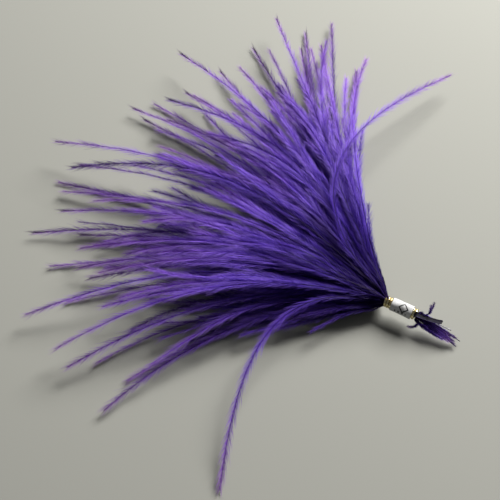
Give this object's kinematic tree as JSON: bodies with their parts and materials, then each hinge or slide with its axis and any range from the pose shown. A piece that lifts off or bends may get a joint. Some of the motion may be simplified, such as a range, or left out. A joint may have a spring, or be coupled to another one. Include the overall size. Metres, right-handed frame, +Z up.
{
  "type": "ostrich feather tuft",
  "caption": "Fan-shaped tuft of violet ostrich feather barbs, gathered into a short brass-wire tie with a paper label; cut quill strips stick out behind.",
  "frame": {"origin": "middle of the bottom of the tuft's box, on the surface that it lies on", "axes": "+X runs along the tie towards the cut quill ends, the fan opens towards -X, +Z is up"},
  "size_m": [0.1894, 0.2292, 0.0242],
  "materials": {
    "barb": "soft dyed feather, violet with a faint sheen",
    "barb_roots": "dense dyed feather roots, dark indigo",
    "quill": "dyed quill, near black violet, glossy",
    "brass_wire": "bright drawn brass wire",
    "label_paper": "white matt paper with a printed outline mark"
  },
  "bodies": {
    "tie": {"gathered_roots": "barb_roots", "binding_wire": "brass_wire", "paper_label": "label_paper", "wide_quill_strip": "quill", "long_front_strip": "quill", "long_back_strip": "quill", "short_strip": "quill", "stub_barb_back": "barb", "stub_barb_front": "barb"},
    "front_lone_barb": {"front_lone_barb": "barb"},
    "front_lock": {"front_lock_barb_01": "barb", "front_lock_barb_02": "barb", "front_lock_barb_03": "barb", "front_lock_barb_04": "barb", "front_lock_barb_05": "barb"},
    "middle_lock": {"middle_lock_barb_01": "barb", "middle_lock_barb_02": "barb", "middle_lock_barb_03": "barb", "middle_lock_barb_04": "barb", "middle_lock_barb_05": "barb", "middle_lock_barb_06": "barb", "middle_lock_barb_07": "barb", "middle_lock_barb_08": "barb", "middle_lock_barb_09": "barb", "middle_lock_barb_10": "barb", "middle_lock_barb_11": "barb", "middle_lock_barb_12": "barb", "middle_lock_barb_13": "barb", "middle_lock_barb_14": "barb", "middle_lock_barb_15": "barb"},
    "back_lock": {"back_lock_barb_01": "barb", "back_lock_barb_02": "barb", "back_lock_barb_03": "barb", "back_lock_barb_04": "barb", "back_lock_barb_05": "barb", "back_lock_barb_06": "barb", "back_lock_barb_07": "barb", "back_lock_barb_08": "barb", "back_lock_barb_09": "barb", "back_lock_barb_10": "barb", "back_lock_barb_11": "barb", "back_lock_barb_12": "barb", "back_lock_barb_13": "barb", "back_lock_barb_14": "barb", "back_lock_barb_15": "barb", "back_lock_barb_16": "barb", "back_lock_barb_17": "barb", "back_lock_barb_18": "barb", "back_lock_barb_19": "barb", "back_lock_barb_20": "barb", "back_lock_barb_21": "barb", "back_lock_barb_22": "barb", "back_lock_barb_23": "barb"},
    "back_lone_barb": {"back_lone_barb": "barb"}
  },
  "joints": [
    {"name": "front_lone_barb_sway", "type": "hinge", "parent": "tie", "child": "front_lone_barb", "pos_m": [0.0623, -0.01731, 0.00627], "axis": [0, 0, 1], "range_deg": [-6, 14], "stiffness_Nm_per_rad": 0.0004},
    {"name": "front_lock_sway", "type": "hinge", "parent": "tie", "child": "front_lock", "pos_m": [0.0623, -0.01731, 0.00627], "axis": [0, 0, 1], "range_deg": [-3, 6], "stiffness_Nm_per_rad": 0.002},
    {"name": "middle_lock_sway", "type": "hinge", "parent": "tie", "child": "middle_lock", "pos_m": [0.0623, -0.01731, 0.00627], "axis": [0, 0, 1], "range_deg": [-3, 3], "stiffness_Nm_per_rad": 0.005},
    {"name": "back_lock_sway", "type": "hinge", "parent": "tie", "child": "back_lock", "pos_m": [0.0623, -0.01731, 0.00627], "axis": [0, 0, 1], "range_deg": [-6, 3], "stiffness_Nm_per_rad": 0.008},
    {"name": "back_lone_barb_sway", "type": "hinge", "parent": "tie", "child": "back_lone_barb", "pos_m": [0.0623, -0.01731, 0.00627], "axis": [0, 0, 1], "range_deg": [-14, 5], "stiffness_Nm_per_rad": 0.0004}
  ]
}
